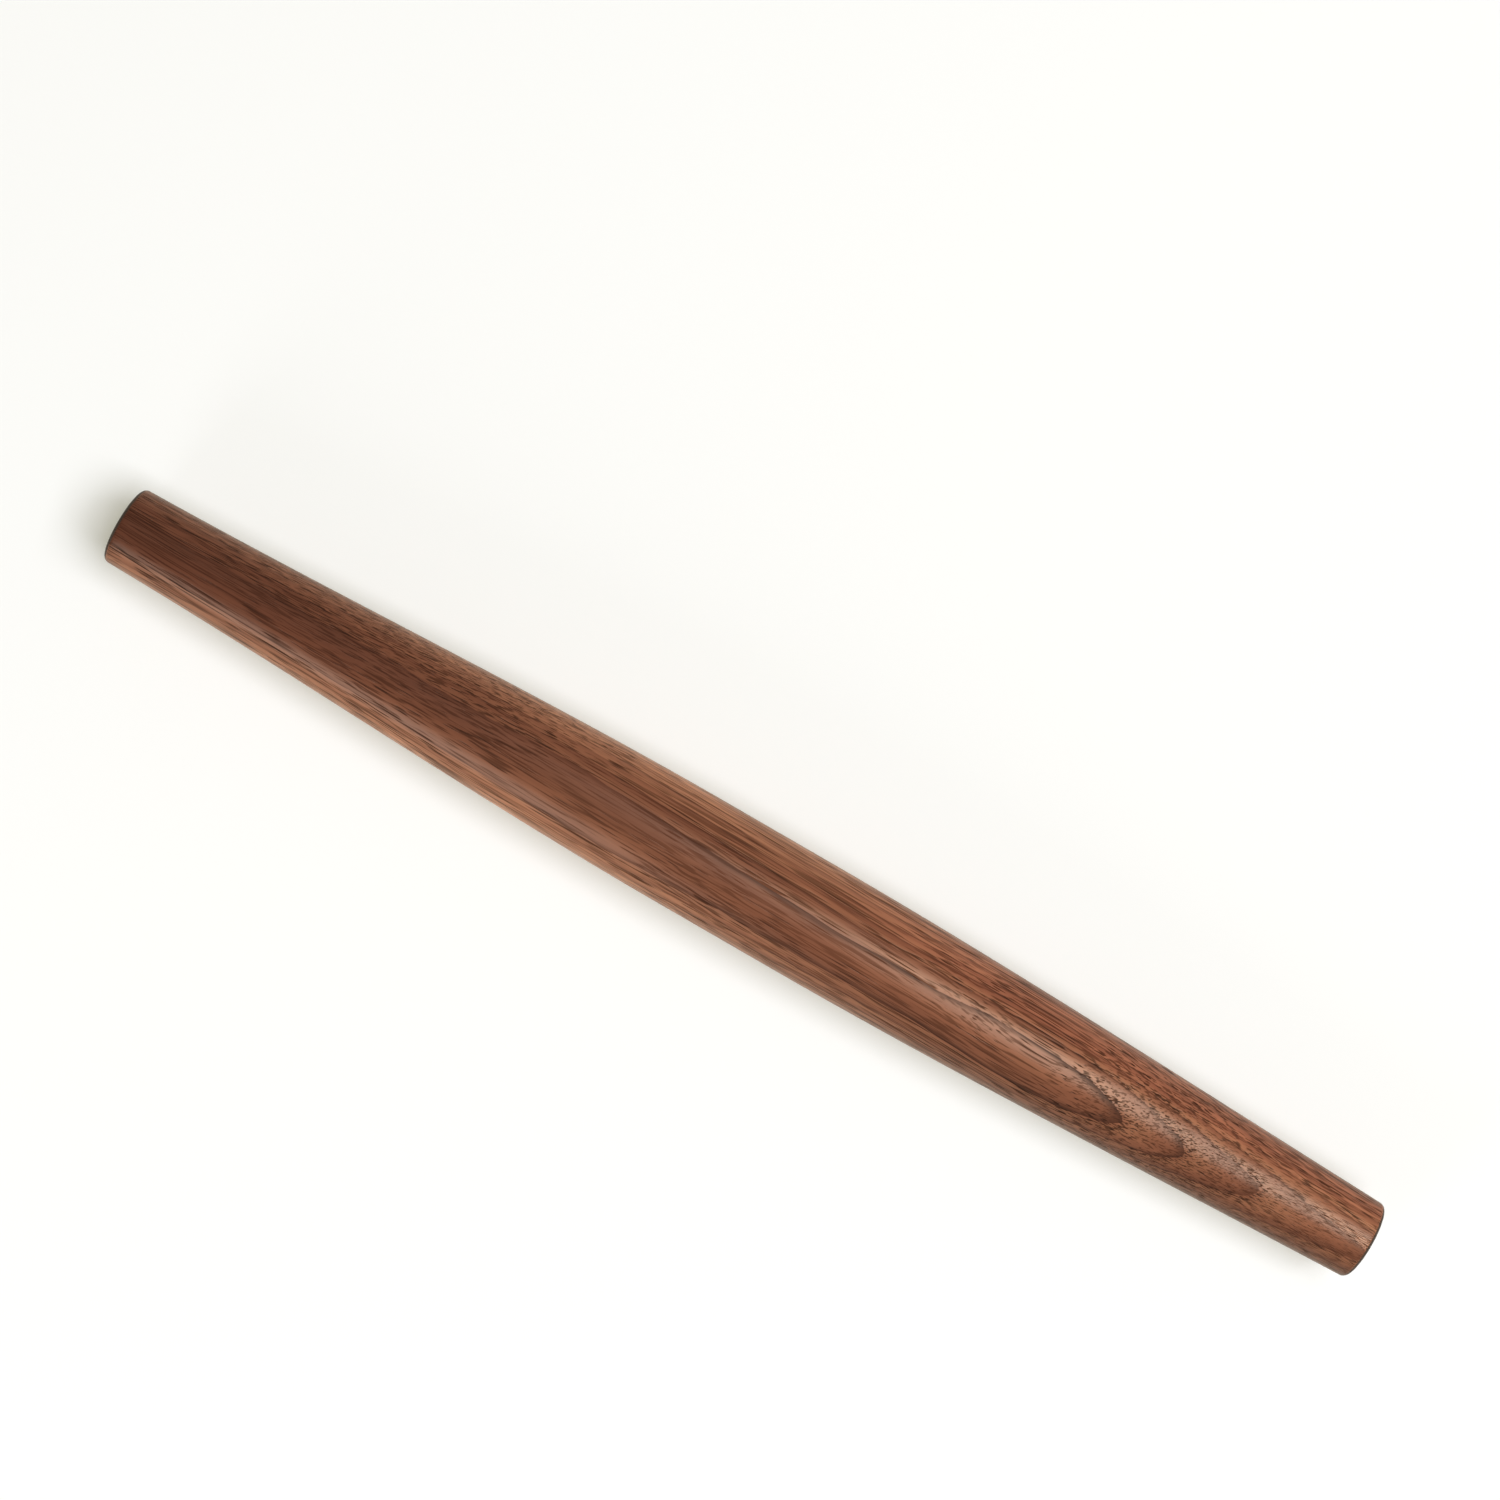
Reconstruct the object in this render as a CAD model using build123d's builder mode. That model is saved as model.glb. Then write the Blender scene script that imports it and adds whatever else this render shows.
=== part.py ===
from build123d import *
import math
import os

# French rolling pin: one length of black walnut, turned between centres and sanded.
# It has a short straight barrel in the middle and a long taper to each end. Nothing
# is fixed to it, so the whole object is this one solid.
#
# Millimetres and degrees. The origin is on the axis at mid-length, +X runs along
# the axis to the end with the fuller taper, and +Z is up.

# Driving dimensions
pin_length = 521.0        # end face to end face
belly_diameter = 44.2     # the barrel, which is the thickest stretch
barrel_length = 44.0      # straight stretch, half of it each side of mid-length
end_diameter = 30.0       # each end face, before its edge is rounded
slim_end_angle = 0.8      # fall of the -X taper where it meets its end face
full_end_angle = 2.05     # fall of the +X taper where it meets its end face
edge_radius = 2.2         # rounding sanded round each end face

# Places worked out from them
end_x = pin_length / 2
barrel_end_x = barrel_length / 2
belly_radius = belly_diameter / 2
end_radius = end_diameter / 2

# Each taper is a cubic: its two inner control points stand at the thirds of its run,
# level with the barrel at one end, and on the line of the end angle at the other.
third_of_taper = (end_x - barrel_end_x) / 3
shoulder_x = barrel_end_x + third_of_taper
near_end_x = end_x - third_of_taper
slim_near_end_radius = end_radius + third_of_taper * math.tan(math.radians(slim_end_angle))
full_near_end_radius = end_radius + third_of_taper * math.tan(math.radians(full_end_angle))

os.makedirs("parts", exist_ok=True)

# Turned pin: the half section above the axis, spun once round it.
with BuildPart() as turned_pin:
    with BuildSketch(Plane.XZ) as half_section:
        with BuildLine() as outline:
            slim_taper = Bezier(
                (-end_x, end_radius),
                (-near_end_x, slim_near_end_radius),
                (-shoulder_x, belly_radius),
                (-barrel_end_x, belly_radius),
            )
            barrel = Line(slim_taper @ 1, (barrel_end_x, belly_radius))
            full_taper = Bezier(
                barrel @ 1,
                (shoulder_x, belly_radius),
                (near_end_x, full_near_end_radius),
                (end_x, end_radius),
            )
            Polyline(full_taper @ 1, (end_x, 0), (-end_x, 0), slim_taper @ 0)
        make_face()
    revolve(axis=Axis.X)

    # The two end faces are the only flat ones. Their rims are rounded over.
    end_faces = turned_pin.faces().filter_by(GeomType.PLANE)
    fillet(end_faces.edges(), radius=edge_radius)

turned_pin.part.label = "turned_pin"
export_step(turned_pin.part, "parts/turned_pin.step")
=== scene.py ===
import bpy
import math
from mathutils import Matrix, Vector
from types import SimpleNamespace


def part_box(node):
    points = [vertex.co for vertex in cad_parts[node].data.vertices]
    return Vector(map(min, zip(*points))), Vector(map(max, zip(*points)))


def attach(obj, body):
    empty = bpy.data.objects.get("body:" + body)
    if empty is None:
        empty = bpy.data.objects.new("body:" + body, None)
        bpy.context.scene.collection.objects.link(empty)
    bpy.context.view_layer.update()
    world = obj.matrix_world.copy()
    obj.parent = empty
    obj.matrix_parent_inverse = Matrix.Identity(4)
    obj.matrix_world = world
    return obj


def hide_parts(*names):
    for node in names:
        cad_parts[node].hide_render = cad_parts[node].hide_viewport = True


# A French rolling pin of black walnut, lying on a pale studio floor and seen from above.
# Metres throughout, but for the pattern inside the wood, in the frame of the CAD model: the
# origin is on the turning axis at mid-length, +X runs along the axis to the end with the
# fuller taper, and +Z is up.

MM = 0.001

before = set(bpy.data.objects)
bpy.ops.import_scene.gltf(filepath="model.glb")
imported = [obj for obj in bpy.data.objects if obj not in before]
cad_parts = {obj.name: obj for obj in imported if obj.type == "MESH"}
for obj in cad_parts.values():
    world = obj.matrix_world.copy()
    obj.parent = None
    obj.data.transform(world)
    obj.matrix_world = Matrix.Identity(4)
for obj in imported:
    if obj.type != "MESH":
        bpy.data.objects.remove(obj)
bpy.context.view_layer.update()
highest = Vector(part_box("turned_pin")[1])

# ---------------------------------------------------------------- sizes of the pin
half_length = highest.x
belly_radius = highest.z
half_barrel = 22.0 * MM          # the straight stretch, each side of mid-length
end_radius = 15.0 * MM           # each end face, before its edge is rounded
slim_end_slope = math.tan(math.radians(0.8))     # -X taper, where it meets its end face
full_end_slope = math.tan(math.radians(2.05))    # +X taper, where it meets its end face
edge_radius = 2.2 * MM           # the rounding sanded round each end face

# Faces of its mesh
faces_along = 260                # from one rounded edge to the other
faces_over_edge = 8              # over each rounded edge
rings_on_end = 6                 # from each rounded edge to the middle of the end face
faces_round = 128
weld_distance = 0.001 * MM       # points of its seam and its poles this close are one

# Its own map for baked colour, as shares of a square: the turned side fills the map but for
# a strip along the bottom, where the two end faces lie side by side
side_map_reach = 0.496           # from the map's middle to either end of the side
side_map_height = 0.84
side_map_middle = 0.575
end_map_aside = 0.25             # from the map's middle to the middle of either end face
end_map_middle = 0.07
end_map_reach = (0.24, 0.066)    # from the middle of an end face to its rim

# ---------------------------------------------------------------- the photograph's view
camera_place = Vector((-22.4, 42.8, 1268.0)) * MM
axis_turn = math.radians(30.04)  # how far the pin's axis falls to the right in the picture
sensor_width = 36.0              # mm of film, as Blender counts lenses
lens_length = 83.7

# ---------------------------------------------------------------- studio
floor_level = -belly_radius
floor_half_width = 3.0
paper_lights = "#E1DCCE"         # the warm white that the floor throws back at the pin
paper_seen = "#D9DBE3"           # the white that takes the pin's shadow before the camera
paper_lift = "#FFFBD6"           # a glow that lifts that shadow for the camera alone
lift_strength = 0.28
white_beyond = "#FDFDFB"         # what the camera sees beyond the pin's surroundings
paper_fades = {"From Min": 0.5, "From Max": 1.3}         # distance from the pin's middle
room_colour = "#FFF7EB"
wall_glow = 0.42                 # of a room whose white would be 1
ceiling_glow = 0.05


def linear(hex_colour):
    """An sRGB hex colour as the linear RGBA that sockets take."""
    channels = [int(hex_colour[at:at + 2], 16) / 255 for at in (1, 3, 5)]
    return [c / 12.92 if c <= 0.04045 else ((c + 0.055) / 1.055) ** 2.4 for c in channels] + [1.0]


def add(tree, kind, inputs=None, **settings):
    """Add a node: its settings, then each input, as a value or as the output that feeds it."""
    node = tree.nodes.new(kind)
    for name, value in settings.items():
        setattr(node, name, value)
    for name, value in (inputs or {}).items():
        if isinstance(value, bpy.types.NodeSocket):
            tree.links.new(value, node.inputs[name])
        else:
            node.inputs[name].default_value = value
    return node


def new_material(name):
    """An empty node material and its tree."""
    material = bpy.data.materials.new(name)
    material.use_nodes = True
    material.node_tree.nodes.clear()
    return material, material.node_tree


# ---------------------------------------------------------------- black walnut
# All lengths inside the wood are millimetres. The tree's pith lies outside the pin, above
# it and a little to the -Y side, so the top is cut through the rings at a shallow slant
# and shows arches, the sides show straight lines, and the end faces show arcs.
pith_below = 12.6                # how far towards -Y the pith is at mid-length
pith_swing = 0.024               # how much further for each mm along +X
pith_height = 57.0               # height of the pith over the pin's axis at mid-length
pith_climb = 0.022               # how much higher for each mm along +X
dip_depth = 5.8                  # the grain dips towards the pin once, near +X
dip_place = 136.0
dip_reach = 58.0
wander_size = (45.0, 14.0)       # the grain's wandering: how long and wide its waves are
wander_reach = 2.2               # and how far they may carry it
first_ring = 38.9                # radius of the ring whose arch is nearest mid-length
ring_width = 3.76                # one year's growth outside that ring
inner_ring_width = 5.6           # and inside it, where the tree grew faster
ring_fray = 0.14                 # how far single fibres carry a ring's edge

# Shares of the way through one year's growth
early_wood = {"From Min": 0.62, "From Max": 0.02}
late_wood = {"From Min": 0.5, "From Max": 0.98}
dark_line = {"From Min": 0.8, "From Max": 1.0}
pale_sets_in = {"From Max": 0.22}

# The dark lines are pressed harder in some places than in others, each year in its own way
pressure_size = (60.0, 26.0)     # how long and wide those places are
year_shift = (31.0, 0.0, 0.0)    # how far along the places move from one year to the next
pressures = {"From Min": 0.36, "From Max": 0.62, "To Min": 0.25, "To Max": 0.62}
first_line_extra = 0.22          # the first ring's line is the darkest,
first_line_year = -1.0           # and it closes the year inside that ring
slim_line_share = 0.3            # of that pressure, towards the -X end
slim_pale_share = 0.45           # of the early wood's paleness, towards the -X end

# Fibres and pores run the length of the blank. The turned surface cuts them at a slant
# that differs from place to place: into short dashes where it is steep, as on the top of
# the +X taper, and into long lines where it is slight. Sizes are long, wide and deep.
girth = 18.0                     # the radius at which their widths are true
level_slant = 0.42               # where they lie nearly level, as a share of their slant
hair_size = (26.0, 0.54, 0.14)   # thin dark fibres, drawn about as fine as a render shows
streak_size = (24.0, 0.9, 0.3)   # bundles of lighter and darker fibres
pore_size = (20.0, 0.5, 0.13)    # open pores, drawn about twice as wide as real ones to show
hair_levels = {"From Min": 0.5, "From Max": 0.4}         # of noise that make a dark fibre
pore_levels = {"To Min": 0.34, "To Max": 0.44}           # and a pore, in late and early wood
pore_edge = 0.07                 # from a pore's rim to its full depth, in that noise
pore_darkness = 0.8
dull_hair = 0.7                  # how much of a pore's dullness a dark fibre has

# Stretches over which something sets in, from none to full, as places along X
arches_set_in = {"From Min": 50.0, "From Max": 110.0}
before_arches = {"From Min": 110.0, "From Max": 30.0}
slim_taper = {"From Min": -20.0, "From Max": -110.0}
slim_half = {"From Min": -10.0, "From Max": -90.0}
towards_full_end = {"From Min": -160.0, "From Max": 60.0}
# Where the painted highlight on the top sets in and where it fades
painted_sheen_sets_in = {"From Min": -10.0, "From Max": 70.0}
painted_sheen_fades = {"From Min": 185.0, "From Max": 100.0}
off_the_middle = {"From Min": 40.0, "From Max": 120.0}   # either way from mid-length
end_grain_depth = (1.4, 1.1)     # from an end face, where end grain starts and where it is full

# The same for places across, as shares of the belly's radius. What is said here of the top
# holds for the underside as well, because only the place across is asked.
crest_reach = 0.45               # either way from the line of the top
lower_flank = {"From Min": -0.12, "From Max": -0.42}
amber_side = {"From Min": 0.25, "From Max": 0.6}
amber_half = {"From Min": 0.0, "From Max": 0.5}          # along X, as shares of the half length

# How the tone drifts through the blank, as powers of e that its colour is multiplied by. It is
# # partly the heartwood's own colour and partly painted light and shade: the sides are lightened
# # for the light the floor throws up at them, and the top of the -X half is darkened where less
# # light falls. The -X half is dark along its middle and lighter at its sides. The +X half is the
# # other way about, and its +Y side is lighter than its -Y side.
tone_overall = 0.05
tone_along = 0.46                # for half the length towards +X
tone_across = 0.10               # for a belly's radius towards +Y
tone_to_corner = 0.47            # for both at once
tone_at_sides = 0.83             # for a belly's radius to either side, partly painted light thrown up from the floor
tone_of_sides_along = -1.40      # and how that turns round along +X

# What changes that tone, as powers of e again. Patterns swing from half of it darker to
# half of it lighter.
blotch_size = (34.0, 6.0)        # long and wide
band_size = (26.0, 1.3)
blotch_swing = 0.5
band_swing = 0.32
streak_swing = 0.22
tone_of_pale = 0.26              # early wood
tone_of_late = -0.2              # late wood
tone_of_painted_sheen = 0.38           # a painted highlight: the top made lighter before the arches, where the sheen falls
tone_of_slim_flank = 0.1         # the -Y side of the -X half: partly paler wood, partly a painted sheen
tone_of_slim_crest = -0.13       # the top of the -X half: partly darker wood, partly painted shade
tone_of_hairs = {"To Min": -0.7, "To Max": -1.3}         # dark fibres in late and early wood
middle_share = 0.72              # how strongly fibres and pores show at mid-length
crest_calm = 0.32                # how much less they do on the top before the arches

red_brown = "#784733"
tan_brown = "#784F38"
tan_at_rest = 0.25               # how tan the wood is at tone 0
tan_of_tone = 0.7                # and how much more for each power of e
tan_of_pale = 0.4
tan_of_amber = -0.8              # the +Y side of the +X half is amber instead of tan
line_brown = "#36211A"
pore_brown = "#2E1C14"
end_brown = "#3E342D"            # end grain, which soaks up more oil
end_soaking = 0.95

side_roughness = 0.29            # satin, oiled and rubbed
end_roughness = 0.5
wood_shine = 0.37
hollow_shine = 0.04
oil_tint = "#FFF7E5"
pore_relief = 0.08 * MM
relief_strength = 0.5


def whereabouts(tree):
    """What the wood's pattern asks about each point of the pin: its place and its x, its
    share of the half length and of the belly's radius (along, across), its distance from
    mid-length, how near it is to the line of the top or the underside (crest), and whether
    its fibres are cut at their full slant (slanted)."""
    metres = add(tree, "ShaderNodeTexCoord").outputs["Object"]
    place = add(tree, "ShaderNodeVectorMath", {0: metres, "Scale": 1 / MM}, operation="SCALE").outputs[0]
    apart = add(tree, "ShaderNodeSeparateXYZ", {0: place}).outputs
    x = apart[0]
    along = add(tree, "ShaderNodeMath", {0: x, 1: half_length / MM}, operation="DIVIDE").outputs[0]
    across = add(tree, "ShaderNodeMath", {0: apart[1], 1: belly_radius / MM}, operation="DIVIDE").outputs[0]
    from_middle = add(tree, "ShaderNodeMath", {0: x}, operation="ABSOLUTE").outputs[0]

    from_below = add(tree, "ShaderNodeMapRange", {
        "Value": across, "From Min": -crest_reach, "From Max": 0.0},
        interpolation_type="SMOOTHSTEP").outputs[0]
    from_above = add(tree, "ShaderNodeMapRange", {
        "Value": across, "From Min": crest_reach, "From Max": 0.0},
        interpolation_type="SMOOTHSTEP").outputs[0]
    crest = add(tree, "ShaderNodeMath", {0: from_below, 1: from_above}, operation="MULTIPLY").outputs[0]

    at_arches = add(tree, "ShaderNodeMapRange", {"Value": x, **arches_set_in},
                    interpolation_type="SMOOTHSTEP").outputs[0]
    arched = add(tree, "ShaderNodeMath", {0: crest, 1: at_arches}, operation="MULTIPLY").outputs[0]
    on_slim_taper = add(tree, "ShaderNodeMapRange", {"Value": x, **slim_taper},
                        interpolation_type="SMOOTHSTEP").outputs[0]
    slanted = add(tree, "ShaderNodeMath", {0: arched, 1: on_slim_taper}, operation="MAXIMUM").outputs[0]
    return SimpleNamespace(place=place, x=x, along=along, across=across, from_middle=from_middle,
                           crest=crest, slanted=slanted)


def grain_noise(tree, grain, size):
    """Soft noise drawn out along the grain. One patch is as long and wide as the size says."""
    long, wide = size
    stretch = (1 / long, 1 / wide, 1 / wide)
    scaled = add(tree, "ShaderNodeVectorMath", {0: grain, 1: stretch}, operation="MULTIPLY").outputs[0]
    return add(tree, "ShaderNodeTexNoise", {"Vector": scaled, "Scale": 1.0, "Detail": 2.0})


def grain_from_pith(tree, place):
    """Places in the pin, with y and z from the pith: (straight, wandering as rings do)."""
    x = add(tree, "ShaderNodeSeparateXYZ", {0: place}).outputs[0]
    pith_y = add(tree, "ShaderNodeMath", {0: x, 1: -pith_swing, 2: -pith_below},
                 operation="MULTIPLY_ADD").outputs[0]
    climbing = add(tree, "ShaderNodeMath", {0: x, 1: pith_climb, 2: pith_height},
                   operation="MULTIPLY_ADD").outputs[0]
    from_dip = add(tree, "ShaderNodeMapRange", {
        "Value": x, "From Min": dip_place, "From Max": dip_place + dip_reach}, clamp=False).outputs[0]
    squared = add(tree, "ShaderNodeMath", {0: from_dip, 1: from_dip}, operation="MULTIPLY").outputs[0]
    fading = add(tree, "ShaderNodeMath", {0: 1 / math.e, 1: squared}, operation="POWER").outputs[0]
    pith_z = add(tree, "ShaderNodeMath", {0: fading, 1: -dip_depth, 2: climbing},
                 operation="MULTIPLY_ADD").outputs[0]
    pith = add(tree, "ShaderNodeCombineXYZ", {1: pith_y, 2: pith_z}).outputs[0]
    straight = add(tree, "ShaderNodeVectorMath", {0: place, 1: pith}, operation="SUBTRACT").outputs[0]

    wander = grain_noise(tree, straight, wander_size).outputs["Color"]
    centred = add(tree, "ShaderNodeVectorMath", {0: wander, 1: (0.5, 0.5, 0.5)},
                  operation="SUBTRACT").outputs[0]
    wandering = add(tree, "ShaderNodeVectorMath", {
        0: centred, 1: (0.0, wander_reach, wander_reach), 2: straight}, operation="MULTIPLY_ADD").outputs[0]
    return straight, wandering


def along_fibres(tree, straight):
    """(the fibre through each place by its length and its direction from the pin's axis,
    how deep in the blank it lies)."""
    fibre = add(tree, "ShaderNodeVectorMath", {0: straight, 1: (0.0, -pith_below, pith_height)}).outputs[0]
    outward = add(tree, "ShaderNodeVectorMath", {0: fibre, 1: (0.0, 1.0, 1.0)},
                  operation="MULTIPLY").outputs[0]
    layer = add(tree, "ShaderNodeVectorMath", {0: outward}, operation="LENGTH").outputs["Value"]
    direction = add(tree, "ShaderNodeVectorMath", {0: outward}, operation="NORMALIZE").outputs[0]
    length = add(tree, "ShaderNodeVectorMath", {0: straight, 1: (1.0, 0.0, 0.0)},
                 operation="MULTIPLY").outputs[0]
    unrolled = add(tree, "ShaderNodeVectorMath", {0: direction, 1: (girth, girth, girth), 2: length},
                   operation="MULTIPLY_ADD").outputs[0]
    return unrolled, layer


def fibre_noise(tree, fibre, slanted, size, detail=1.0):
    """Noise in strands of fibre as long, wide and deep as the size says, where the wood is
    slanted, and in strands that lie nearly level elsewhere."""
    unrolled, layer = fibre
    long, wide, deep = size
    stretch = (1 / long, 1 / wide, 1 / wide)
    scaled = add(tree, "ShaderNodeVectorMath", {0: unrolled, 1: stretch}, operation="MULTIPLY").outputs[0]
    noises = []
    for slant in (level_slant, 1.0):
        down = add(tree, "ShaderNodeMath", {0: layer, 1: slant / deep}, operation="MULTIPLY").outputs[0]
        noises.append(add(tree, "ShaderNodeTexNoise", {
            "Vector": scaled, "W": down, "Scale": 1.0, "Detail": detail}, noise_dimensions="4D").outputs[0])
    level, steep = noises
    return add(tree, "ShaderNodeMix", {0: slanted, 2: level, 3: steep}).outputs[0]


def growth_rings(tree, grain, hairs):
    """(whole rings from the first one, share of the way through the ring, bark side at 1).
    The dark fibres' own noise frays the rings' edges."""
    across = add(tree, "ShaderNodeVectorMath", {0: grain, 1: (0.0, 1.0, 1.0)},
                 operation="MULTIPLY").outputs[0]
    radius = add(tree, "ShaderNodeVectorMath", {0: across}, operation="LENGTH").outputs["Value"]
    frayed = add(tree, "ShaderNodeMath", {0: hairs, 1: ring_fray, 2: radius},
                 operation="MULTIPLY_ADD").outputs[0]
    outside = add(tree, "ShaderNodeMath", {0: frayed, 1: first_ring + ring_fray / 2},
                  operation="SUBTRACT").outputs[0]
    slow = add(tree, "ShaderNodeMath", {0: outside, 1: 0.0}, operation="MAXIMUM").outputs[0]
    fast = add(tree, "ShaderNodeMath", {0: outside, 1: 0.0}, operation="MINIMUM").outputs[0]
    slow_rings = add(tree, "ShaderNodeMath", {0: slow, 1: ring_width}, operation="DIVIDE").outputs[0]
    rings = add(tree, "ShaderNodeMath", {0: fast, 1: 1 / inner_ring_width, 2: slow_rings},
                operation="MULTIPLY_ADD").outputs[0]
    whole = add(tree, "ShaderNodeMath", {0: rings}, operation="FLOOR").outputs[0]
    share = add(tree, "ShaderNodeMath", {0: rings, 1: whole}, operation="SUBTRACT").outputs[0]
    return whole, share


def years_growth(tree, spot, grain, hairs):
    """The figure of the yearly growth. Pale early wood follows each dark line outwards, and
    the late wood darkens towards the next."""
    whole, share = growth_rings(tree, grain, hairs)
    early = add(tree, "ShaderNodeMapRange", {"Value": share, **early_wood}).outputs[0]
    late = add(tree, "ShaderNodeMapRange", {"Value": share, **late_wood}).outputs[0]

    line = add(tree, "ShaderNodeMapRange", {"Value": share, **dark_line},
               interpolation_type="SMOOTHSTEP").outputs[0]
    year = add(tree, "ShaderNodeCombineXYZ", {0: whole}).outputs[0]
    years_own = add(tree, "ShaderNodeVectorMath", {0: year, 1: year_shift, 2: spot.place},
                    operation="MULTIPLY_ADD").outputs[0]
    pressed = grain_noise(tree, years_own, pressure_size).outputs[0]
    pressure = add(tree, "ShaderNodeMapRange", {"Value": pressed, **pressures}).outputs[0]
    first = add(tree, "ShaderNodeMath", {0: whole, 1: first_line_year, 2: 0.5},
                operation="COMPARE").outputs[0]
    harder = add(tree, "ShaderNodeMath", {0: first, 1: first_line_extra, 2: pressure},
                 operation="MULTIPLY_ADD").outputs[0]
    fainter = add(tree, "ShaderNodeMapRange", {
        "Value": spot.x, **towards_full_end, "To Min": slim_line_share}).outputs[0]
    eased = add(tree, "ShaderNodeMath", {0: harder, 1: fainter}, operation="MULTIPLY").outputs[0]
    drawn = add(tree, "ShaderNodeMath", {0: line, 1: eased}, operation="MULTIPLY").outputs[0]

    rise = add(tree, "ShaderNodeMapRange", {"Value": share, **pale_sets_in}).outputs[0]
    paling = add(tree, "ShaderNodeMath", {0: early, 1: rise}, operation="MULTIPLY").outputs[0]
    duller = add(tree, "ShaderNodeMapRange", {
        "Value": spot.x, **towards_full_end, "To Min": slim_pale_share}).outputs[0]
    pale = add(tree, "ShaderNodeMath", {0: paling, 1: duller}, operation="MULTIPLY").outputs[0]
    return SimpleNamespace(early=early, late=late, drawn=drawn, pale=pale)


def drift_of_tone_and_light(tree, spot):
    """How the tone drifts from one end and side of the blank to the other: partly the wood's own
    colour, partly painted light and shade.
    """
    turning = add(tree, "ShaderNodeMath", {0: spot.across, 1: tone_of_sides_along, 2: tone_to_corner},
                  operation="MULTIPLY_ADD").outputs[0]
    lengthways = add(tree, "ShaderNodeMath", {0: spot.across, 1: turning, 2: tone_along},
                     operation="MULTIPLY_ADD").outputs[0]
    sideways = add(tree, "ShaderNodeMath", {0: spot.across, 1: tone_at_sides, 2: tone_across},
                   operation="MULTIPLY_ADD").outputs[0]
    from_side = add(tree, "ShaderNodeMath", {0: spot.across, 1: sideways}, operation="MULTIPLY").outputs[0]
    return add(tree, "ShaderNodeMath", {0: spot.along, 1: lengthways, 2: from_side},
               operation="MULTIPLY_ADD").outputs[0]


def wood_tone_and_painted_light(tree, spot, grain, fibre, growth):
    """The tone between the dark fibres: the drift, which is partly painted light and shade, with
    blotches and bands a few centimetres long, streaks of fibres, the yearly growth, a painted
    highlight on the top, and the -X half's lighter -Y side and darker top, which are partly
    painted light and shade as well."""
    tone = add(tree, "ShaderNodeMath", {0: drift_of_tone_and_light(tree, spot), 1: tone_overall}).outputs[0]
    blotches = grain_noise(tree, grain, blotch_size).outputs[0]
    bands = grain_noise(tree, grain, band_size).outputs[0]
    streaks = fibre_noise(tree, fibre, spot.slanted, streak_size)
    for pattern, swing in ((blotches, blotch_swing), (bands, band_swing), (streaks, streak_swing)):
        swung = add(tree, "ShaderNodeMapRange", {
            "Value": pattern, "To Min": -swing / 2, "To Max": swing / 2}).outputs[0]
        tone = add(tree, "ShaderNodeMath", {0: tone, 1: swung}).outputs[0]

    # A painted highlight: the top is made lighter where the sheen falls on it
    rising = add(tree, "ShaderNodeMapRange", {"Value": spot.x, **painted_sheen_sets_in},
                 interpolation_type="SMOOTHSTEP").outputs[0]
    falling = add(tree, "ShaderNodeMapRange", {"Value": spot.x, **painted_sheen_fades},
                  interpolation_type="SMOOTHSTEP").outputs[0]
    midway = add(tree, "ShaderNodeMath", {0: rising, 1: falling}, operation="MULTIPLY").outputs[0]
    painted_sheen = add(tree, "ShaderNodeMath", {0: spot.crest, 1: midway}, operation="MULTIPLY").outputs[0]
    # The -Y side of the -X half is lightened, partly paler wood and partly a painted sheen, and its top is
    # darkened, partly darker wood and partly painted shade
    below = add(tree, "ShaderNodeMapRange", {"Value": spot.across, **lower_flank},
                interpolation_type="SMOOTHSTEP").outputs[0]
    slim = add(tree, "ShaderNodeMapRange", {"Value": spot.x, **slim_half},
               interpolation_type="SMOOTHSTEP").outputs[0]
    slim_flank = add(tree, "ShaderNodeMath", {0: below, 1: slim}, operation="MULTIPLY").outputs[0]
    slim_crest = add(tree, "ShaderNodeMath", {0: spot.crest, 1: slim}, operation="MULTIPLY").outputs[0]
    for presence, change in ((growth.pale, tone_of_pale), (growth.late, tone_of_late),
                             (painted_sheen, tone_of_painted_sheen), (slim_flank, tone_of_slim_flank),
                             (slim_crest, tone_of_slim_crest)):
        tone = add(tree, "ShaderNodeMath", {0: presence, 1: change, 2: tone},
                   operation="MULTIPLY_ADD").outputs[0]
    return tone


def heartwood_hue(tree, spot, tone, pale):
    """Darker wood is redder and lighter wood is more tan, but +Y of the +X half is amber."""
    to_side = add(tree, "ShaderNodeMapRange", {"Value": spot.across, **amber_side},
                  interpolation_type="SMOOTHSTEP").outputs[0]
    to_end = add(tree, "ShaderNodeMapRange", {"Value": spot.along, **amber_half},
                 interpolation_type="SMOOTHSTEP").outputs[0]
    amber = add(tree, "ShaderNodeMath", {0: to_side, 1: to_end}, operation="MULTIPLY").outputs[0]
    tan = add(tree, "ShaderNodeMath", {0: tone, 1: tan_of_tone, 2: tan_at_rest},
              operation="MULTIPLY_ADD").outputs[0]
    for presence, change in ((pale, tan_of_pale), (amber, tan_of_amber)):
        tan = add(tree, "ShaderNodeMath", {0: presence, 1: change, 2: tan},
                  operation="MULTIPLY_ADD").outputs[0]
    return add(tree, "ShaderNodeMix", {0: tan, 6: linear(red_brown), 7: linear(tan_brown)},
               data_type="RGBA").outputs[2]


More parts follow.
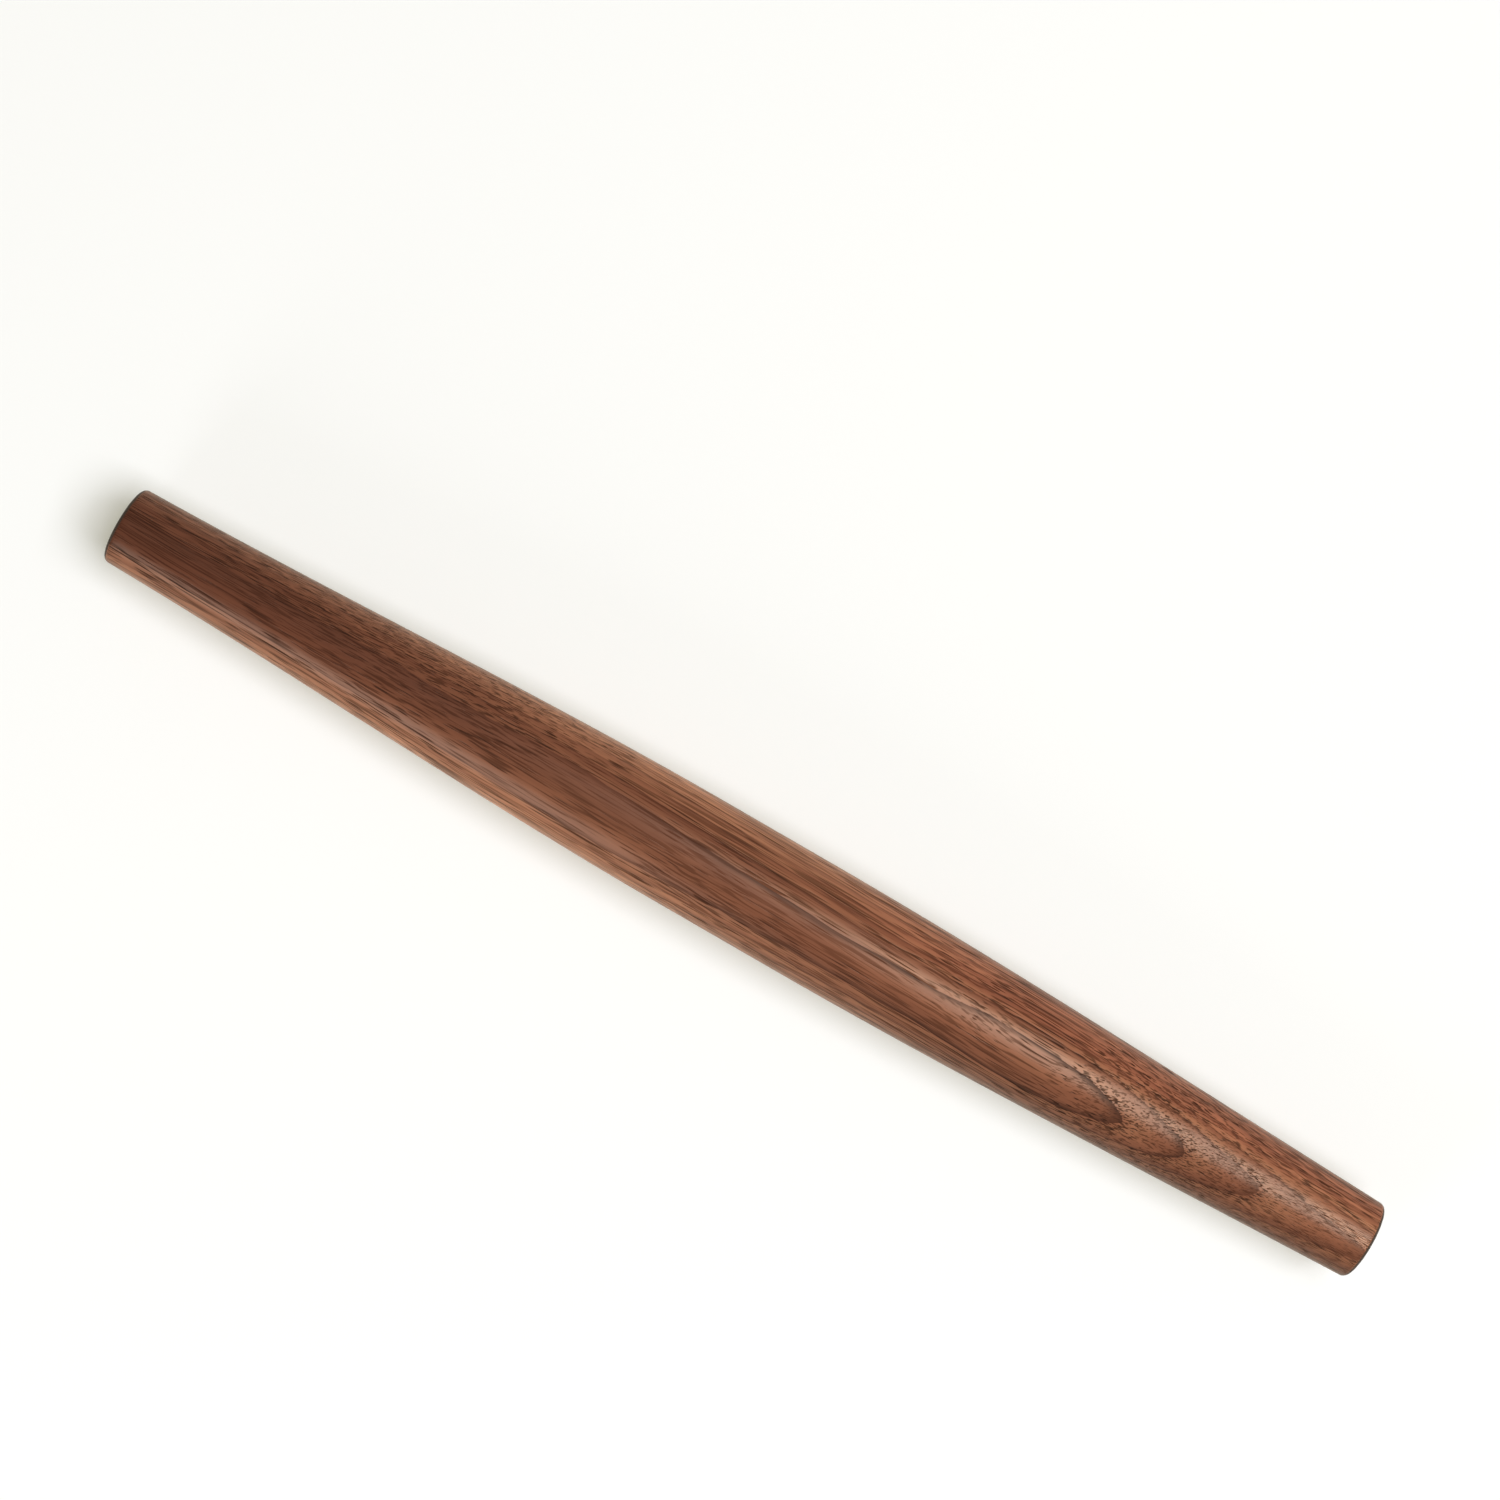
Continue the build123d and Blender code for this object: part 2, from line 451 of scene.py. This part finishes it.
def stir_of_fibres(tree, spot):
    """How strongly dark fibres and pores show: less about mid-length, and least on the top
    before the arches."""
    middle = add(tree, "ShaderNodeMapRange", {
        "Value": spot.from_middle, **off_the_middle, "To Min": middle_share}).outputs[0]
    before = add(tree, "ShaderNodeMapRange", {"Value": spot.x, **before_arches}).outputs[0]
    calm = add(tree, "ShaderNodeMath", {0: spot.crest, 1: before}, operation="MULTIPLY").outputs[0]
    return add(tree, "ShaderNodeMath", {0: calm, 1: -crest_calm, 2: middle},
               operation="MULTIPLY_ADD").outputs[0]


def open_pores(tree, spot, fibre, early):
    """Slits along the fibres, wider and so more of them in early wood."""
    slits = fibre_noise(tree, fibre, spot.slanted, pore_size, detail=0.0)
    rim = add(tree, "ShaderNodeMapRange", {"Value": early, **pore_levels}).outputs[0]
    bottom = add(tree, "ShaderNodeMath", {0: rim, 1: pore_edge}, operation="SUBTRACT").outputs[0]
    return add(tree, "ShaderNodeMapRange", {
        "Value": slits, "From Min": rim, "From Max": bottom}).outputs[0]


def walnut():
    """Black walnut heartwood, turned, sanded and oiled: brown with a purple cast, frayed dark
    ring lines, short dark pores that crowd the paler early wood, and a satin sheen. Its tone
    also holds a painted highlight and some painted light and shade."""
    material, tree = new_material("oiled_black_walnut")
    spot = whereabouts(tree)
    straight, grain = grain_from_pith(tree, spot.place)
    fibre = along_fibres(tree, straight)
    hairs = fibre_noise(tree, fibre, spot.slanted, hair_size)
    growth = years_growth(tree, spot, grain, hairs)
    tone = wood_tone_and_painted_light(tree, spot, grain, fibre, growth)
    hue = heartwood_hue(tree, spot, tone, growth.pale)
    pores = open_pores(tree, spot, fibre, growth.early)
    stir = stir_of_fibres(tree, spot)

    # The tone, darkened along thin fibres, scales the hue. Lines and pores are laid over it
    thin = add(tree, "ShaderNodeMapRange", {"Value": hairs, **hair_levels}).outputs[0]
    showing = add(tree, "ShaderNodeMath", {0: thin, 1: stir}, operation="MULTIPLY").outputs[0]
    darkening = add(tree, "ShaderNodeMapRange", {"Value": growth.early, **tone_of_hairs}).outputs[0]
    haired = add(tree, "ShaderNodeMath", {0: showing, 1: darkening, 2: tone},
                 operation="MULTIPLY_ADD").outputs[0]
    lightness = add(tree, "ShaderNodeMath", {0: haired}, operation="EXPONENT").outputs[0]
    body = add(tree, "ShaderNodeVectorMath", {0: hue, "Scale": lightness}, operation="SCALE").outputs[0]
    lined = add(tree, "ShaderNodeMix", {0: growth.drawn, 6: body, 7: linear(line_brown)},
                data_type="RGBA").outputs[2]
    stirred = add(tree, "ShaderNodeMath", {0: pores, 1: stir}, operation="MULTIPLY").outputs[0]
    darkened = add(tree, "ShaderNodeMath", {0: stirred, 1: pore_darkness}, operation="MULTIPLY").outputs[0]
    pored = add(tree, "ShaderNodeMix", {0: darkened, 6: lined, 7: linear(pore_brown)},
                data_type="RGBA").outputs[2]

    # The end faces and the last of their rounding are end grain, dark with oil
    starts, full = [half_length / MM - depth for depth in end_grain_depth]
    end_grain = add(tree, "ShaderNodeMapRange", {
        "Value": spot.from_middle, "From Min": starts, "From Max": full}).outputs[0]
    soaked = add(tree, "ShaderNodeMath", {0: end_grain, 1: end_soaking}, operation="MULTIPLY").outputs[0]
    finished = add(tree, "ShaderNodeMix", {0: soaked, 6: pored, 7: linear(end_brown)},
                   data_type="RGBA").outputs[2]
    roughness = add(tree, "ShaderNodeMapRange", {
        "Value": end_grain, "To Min": side_roughness, "To Max": end_roughness}).outputs[0]

    # Open pores, thin fibres and the rings' lines are hollow and don't shine
    dull = add(tree, "ShaderNodeMath", {0: thin, 1: dull_hair}, operation="MULTIPLY").outputs[0]
    duller = add(tree, "ShaderNodeMath", {0: dull, 1: growth.drawn}, operation="MAXIMUM").outputs[0]
    hollow = add(tree, "ShaderNodeMath", {0: duller, 1: pores}, operation="MAXIMUM").outputs[0]
    shine = add(tree, "ShaderNodeMapRange", {
        "Value": hollow, "To Min": wood_shine, "To Max": hollow_shine}).outputs[0]

    relief = add(tree, "ShaderNodeBump", {
        "Height": pores, "Strength": relief_strength, "Distance": pore_relief}, invert=True).outputs[0]
    surface = add(tree, "ShaderNodeBsdfPrincipled", {
        "Base Color": finished, "Roughness": roughness, "Specular IOR Level": shine,
        "Specular Tint": linear(oil_tint), "Normal": relief}).outputs[0]
    add(tree, "ShaderNodeOutputMaterial", {"Surface": surface})
    return material


# ---------------------------------------------------------------- the turned pin
# Its mesh is a flat grid wrapped once round the axis. Along X the grid runs from -1 to 1, from
# the middle of one end face to the middle of the other, and its columns are spread evenly.
# These are the places in it, out from mid-length, where the edge and the end face start.
columns = faces_along + 2 * (faces_over_edge + rings_on_end)
edge_starts = faces_along / columns
face_starts = (faces_along + 2 * faces_over_edge) / columns


def half_section(tree, sizes, side, reach):
    """(distance from mid-length, radius, share of the end face's radius that is left)."""
    # Along the body: the taper's cubic falls from the barrel, level there, to the end
    body_end = add(tree, "ShaderNodeMath", {0: sizes["Half Length"], 1: sizes["Edge Radius"]},
                   operation="SUBTRACT").outputs[0]
    body_x = add(tree, "ShaderNodeMapRange", {
        "Value": reach, "From Max": edge_starts, "To Max": body_end}).outputs[0]
    way = add(tree, "ShaderNodeMapRange", {
        "Value": body_x, "From Min": sizes["Half Barrel"], "From Max": sizes["Half Length"]}).outputs[0]
    slope = add(tree, "ShaderNodeMapRange", {
        "Value": side, "From Min": -1.0, "To Min": sizes["Slim End Slope"],
        "To Max": sizes["Full End Slope"]}).outputs[0]
    run = add(tree, "ShaderNodeMath", {0: sizes["Half Length"], 1: sizes["Half Barrel"]},
              operation="SUBTRACT").outputs[0]
    whole_drop = add(tree, "ShaderNodeMath", {0: sizes["Belly Radius"], 1: sizes["End Radius"]},
                     operation="SUBTRACT").outputs[0]
    last_fall = add(tree, "ShaderNodeMath", {0: slope, 1: run}, operation="MULTIPLY").outputs[0]
    thrice_drop = add(tree, "ShaderNodeMath", {0: whole_drop, 1: 3.0}, operation="MULTIPLY").outputs[0]
    near_drop = add(tree, "ShaderNodeMath", {0: thrice_drop, 1: last_fall}, operation="SUBTRACT").outputs[0]
    blended = add(tree, "ShaderNodeMix", {0: way, 2: near_drop, 3: whole_drop}).outputs[0]
    way_squared = add(tree, "ShaderNodeMath", {0: way, 1: way}, operation="MULTIPLY").outputs[0]
    drop = add(tree, "ShaderNodeMath", {0: way_squared, 1: blended}, operation="MULTIPLY").outputs[0]
    turned = add(tree, "ShaderNodeMath", {0: sizes["Belly Radius"], 1: drop},
                 operation="SUBTRACT").outputs[0]

    # Over the rounded edge: a quarter circle
    quarter = add(tree, "ShaderNodeMapRange", {
        "Value": reach, "From Min": edge_starts, "From Max": face_starts, "To Max": math.pi / 2}).outputs[0]
    sine = add(tree, "ShaderNodeMath", {0: quarter}, operation="SINE").outputs[0]
    cosine = add(tree, "ShaderNodeMath", {0: quarter}, operation="COSINE").outputs[0]
    outer_x = add(tree, "ShaderNodeMath", {0: sine, 1: sizes["Edge Radius"], 2: body_x},
                  operation="MULTIPLY_ADD").outputs[0]
    edge_centre = add(tree, "ShaderNodeMath", {0: turned, 1: sizes["Edge Radius"]},
                      operation="SUBTRACT").outputs[0]
    rounded = add(tree, "ShaderNodeMath", {0: cosine, 1: sizes["Edge Radius"], 2: edge_centre},
                  operation="MULTIPLY_ADD").outputs[0]

    # Across the end face: the radius shrinks to nothing
    left_of_face = add(tree, "ShaderNodeMapRange", {
        "Value": reach, "From Min": face_starts, "To Min": 1.0, "To Max": 0.0}).outputs[0]
    radius = add(tree, "ShaderNodeMath", {0: rounded, 1: left_of_face}, operation="MULTIPLY").outputs[0]
    return outer_x, radius, left_of_face


def baking_map(tree, from_middle, angle, side, reach, left_of_face):
    """Each corner's place on the pin's own map for baked colour."""
    along_map = add(tree, "ShaderNodeMath", {0: from_middle, 1: side_map_reach / face_starts, 2: 0.5},
                    operation="MULTIPLY_ADD").outputs[0]
    round_map = add(tree, "ShaderNodeMath", {0: angle, 1: side_map_height / math.tau, 2: side_map_middle},
                    operation="MULTIPLY_ADD").outputs[0]
    side_map = add(tree, "ShaderNodeCombineXYZ", {0: along_map, 1: round_map}).outputs[0]

    disc_centre = add(tree, "ShaderNodeMath", {0: side, 1: end_map_aside, 2: 0.5},
                      operation="MULTIPLY_ADD").outputs[0]
    disc_middle = add(tree, "ShaderNodeCombineXYZ", {0: disc_centre, 1: end_map_middle}).outputs[0]
    sine = add(tree, "ShaderNodeMath", {0: angle}, operation="SINE").outputs[0]
    cosine = add(tree, "ShaderNodeMath", {0: angle}, operation="COSINE").outputs[0]
    round_disc = add(tree, "ShaderNodeCombineXYZ", {0: sine, 1: cosine}).outputs[0]
    inward = add(tree, "ShaderNodeVectorMath", {0: round_disc, "Scale": left_of_face},
                 operation="SCALE").outputs[0]
    disc_map = add(tree, "ShaderNodeVectorMath", {0: inward, 1: (*end_map_reach, 0.0), 2: disc_middle},
                   operation="MULTIPLY_ADD").outputs[0]

    face_reach = add(tree, "GeometryNodeFieldOnDomain", {0: reach}, domain="FACE").outputs[0]
    on_face = add(tree, "FunctionNodeCompare", {0: face_reach, 1: face_starts},
                  operation="GREATER_THAN").outputs[0]
    return add(tree, "ShaderNodeMix", {0: on_face, 4: side_map, 5: disc_map}, data_type="VECTOR").outputs[1]


def pin_tree(material):
    """Geometry nodes for the pin, from its sizes."""
    tree = bpy.data.node_groups.new("turned_pin", "GeometryNodeTree")
    for name in ("Half Length", "Half Barrel", "Belly Radius", "End Radius", "Slim End Slope",
                 "Full End Slope", "Edge Radius"):
        tree.interface.new_socket(name, in_out="INPUT", socket_type="NodeSocketFloat")
    tree.interface.new_socket("Pin", in_out="OUTPUT", socket_type="NodeSocketGeometry")
    sizes = add(tree, "NodeGroupInput").outputs

    grid = add(tree, "GeometryNodeMeshGrid", {
        "Size X": 2.0, "Size Y": math.tau, "Vertices X": columns + 1,
        "Vertices Y": faces_round + 1}).outputs[0]
    flat = add(tree, "GeometryNodeInputPosition").outputs[0]
    from_middle, angle, _ = add(tree, "ShaderNodeSeparateXYZ", {0: flat}).outputs
    side = add(tree, "ShaderNodeMath", {0: from_middle}, operation="SIGN").outputs[0]
    reach = add(tree, "ShaderNodeMath", {0: from_middle}, operation="ABSOLUTE").outputs[0]
    outer_x, radius, left_of_face = half_section(tree, sizes, side, reach)
    unrolled = baking_map(tree, from_middle, angle, side, reach, left_of_face)
    mapped = add(tree, "GeometryNodeStoreNamedAttribute", {
        "Geometry": grid, "Name": "OFBake", "Value": unrolled},
        data_type="FLOAT2", domain="CORNER").outputs[0]

    # Wrap it round the axis. The seam is underneath
    x = add(tree, "ShaderNodeMath", {0: side, 1: outer_x}, operation="MULTIPLY").outputs[0]
    on_axis = add(tree, "ShaderNodeCombineXYZ", {0: x}).outputs[0]
    to_side = add(tree, "ShaderNodeMath", {0: angle}, operation="SINE").outputs[0]
    to_top = add(tree, "ShaderNodeMath", {0: angle}, operation="COSINE").outputs[0]
    outward = add(tree, "ShaderNodeCombineXYZ", {1: to_side, 2: to_top}).outputs[0]
    place = add(tree, "ShaderNodeVectorMath", {0: outward, 1: radius, 2: on_axis},
                operation="MULTIPLY_ADD").outputs[0]
    wrapped = add(tree, "GeometryNodeSetPosition", {"Geometry": mapped, "Position": place}).outputs[0]
    closed = add(tree, "GeometryNodeMergeByDistance", {
        "Geometry": wrapped, "Distance": weld_distance}).outputs[0]
    smooth = add(tree, "GeometryNodeSetShadeSmooth", {"Geometry": closed}).outputs[0]
    real = add(tree, "GeometryNodeRealizeInstances", {"Geometry": smooth}).outputs[0]
    finished = add(tree, "GeometryNodeSetMaterial", {"Geometry": real, "Material": material}).outputs[0]
    add(tree, "NodeGroupOutput", {"Pin": finished})
    return tree


def turned_pin(material):
    """The pin as one plain mesh, made by its node tree at this frame's sizes."""
    tree = pin_tree(material)
    sizes = {
        "Half Length": half_length, "Half Barrel": half_barrel, "Belly Radius": belly_radius,
        "End Radius": end_radius, "Slim End Slope": slim_end_slope, "Full End Slope": full_end_slope,
        "Edge Radius": edge_radius,
    }
    blank = bpy.data.objects.new("pin_blank", bpy.data.meshes.new("pin_blank"))
    bpy.context.scene.collection.objects.link(blank)
    turning = blank.modifiers.new("turning", "NODES")
    turning.node_group = tree
    for socket in tree.interface.items_tree:
        if socket.in_out == "INPUT":
            turning[socket.identifier] = sizes[socket.name]
    seen = blank.evaluated_get(bpy.context.evaluated_depsgraph_get())
    mesh = bpy.data.meshes.new_from_object(seen)
    blank.modifiers.remove(turning)
    bpy.data.objects.remove(blank)
    mesh.materials.pop(index=0)      # the empty slot that the grid brought with it
    mesh.name = "walnut_pin"
    pin = bpy.data.objects.new("walnut_pin", mesh)
    bpy.context.scene.collection.objects.link(pin)
    return pin


pin = turned_pin(walnut())
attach(pin, "root")
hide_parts("turned_pin")


# ---------------------------------------------------------------- round the pin
def studio_floor():
    """Matt white paper. It lights the pin in a warm white. The camera sees it in a cooler
    one, with its shadows lifted a little, and past the pin's surroundings as plain white."""
    material, tree = new_material("matt_white_paper")
    lights = add(tree, "ShaderNodeBsdfDiffuse", {"Color": linear(paper_lights)}).outputs[0]
    shaded = add(tree, "ShaderNodeBsdfDiffuse", {"Color": linear(paper_seen)}).outputs[0]
    lift = add(tree, "ShaderNodeEmission", {
        "Color": linear(paper_lift), "Strength": lift_strength}).outputs[0]
    near = add(tree, "ShaderNodeAddShader", {0: shaded, 1: lift}).outputs[0]
    far = add(tree, "ShaderNodeEmission", {"Color": linear(white_beyond)}).outputs[0]
    place = add(tree, "ShaderNodeTexCoord").outputs["Object"]
    distance = add(tree, "ShaderNodeVectorMath", {0: place}, operation="LENGTH").outputs["Value"]
    fading = add(tree, "ShaderNodeMapRange", {"Value": distance, **paper_fades},
                 interpolation_type="SMOOTHSTEP").outputs[0]
    seen = add(tree, "ShaderNodeMixShader", {0: fading, 1: near, 2: far}).outputs[0]
    from_camera = add(tree, "ShaderNodeLightPath").outputs["Is Camera Ray"]
    surface = add(tree, "ShaderNodeMixShader", {0: from_camera, 1: lights, 2: seen}).outputs[0]
    add(tree, "ShaderNodeOutputMaterial", {"Surface": surface})

    corners = [(-floor_half_width, -floor_half_width), (floor_half_width, -floor_half_width),
               (floor_half_width, floor_half_width), (-floor_half_width, floor_half_width)]
    mesh = bpy.data.meshes.new("studio_floor")
    mesh.from_pydata([(x, y, floor_level) for x, y in corners], [], [(0, 1, 2, 3)])
    mesh.materials.append(material)
    floor = bpy.data.objects.new("studio_floor", mesh)
    bpy.context.scene.collection.objects.link(floor)


def soft_box(name, place, width, height, power):
    """A rectangular studio light that faces the pin."""
    light = bpy.data.lights.new(name, "AREA")
    light.shape = "RECTANGLE"
    light.size = width
    light.size_y = height
    light.energy = power
    lamp = bpy.data.objects.new(name, light)
    lamp.location = place
    lamp.rotation_euler = Vector(place).to_track_quat("Z", "Y").to_euler()
    bpy.context.scene.collection.objects.link(lamp)


def studio_world():
    """A room with pale walls and a dim ceiling. The camera sees it as white beyond the floor."""
    world = bpy.data.worlds.new("studio_room")
    world.use_nodes = True
    tree = world.node_tree
    tree.nodes.clear()
    direction = add(tree, "ShaderNodeTexCoord").outputs["Generated"]
    height = add(tree, "ShaderNodeSeparateXYZ", {0: direction}).outputs[2]
    glow = add(tree, "ShaderNodeMapRange", {
        "Value": height, "To Min": wall_glow, "To Max": ceiling_glow}).outputs[0]
    room = add(tree, "ShaderNodeBackground", {"Color": linear(room_colour), "Strength": glow}).outputs[0]
    white = add(tree, "ShaderNodeBackground", {"Color": linear(white_beyond)}).outputs[0]
    from_camera = add(tree, "ShaderNodeLightPath").outputs["Is Camera Ray"]
    shown = add(tree, "ShaderNodeMixShader", {0: from_camera, 1: room, 2: white}).outputs[0]
    add(tree, "ShaderNodeOutputWorld", {"Surface": shown})
    bpy.context.scene.world = world


def photograph_camera():
    """Looks straight down, turned so that the pin's axis falls to the right."""
    camera = bpy.data.objects.new("camera", bpy.data.cameras.new("camera"))
    camera.data.sensor_width = sensor_width
    camera.data.lens = lens_length
    camera.location = camera_place
    camera.rotation_euler.z = axis_turn
    bpy.context.scene.collection.objects.link(camera)
    bpy.context.scene.camera = camera


studio_floor()
soft_box("box_beside", (2.75, 0.62, 4.44), width=3.2, height=1.66, power=149.0)
soft_box("box_overhead", (1.0, 0.3, 3.9), width=2.9, height=1.2, power=74.0)
soft_box("box_low_left", (-0.35, -1.3, 0.5), width=0.55, height=0.75, power=4.3)
studio_world()
photograph_camera()
bpy.context.scene.view_settings.view_transform = "Standard"
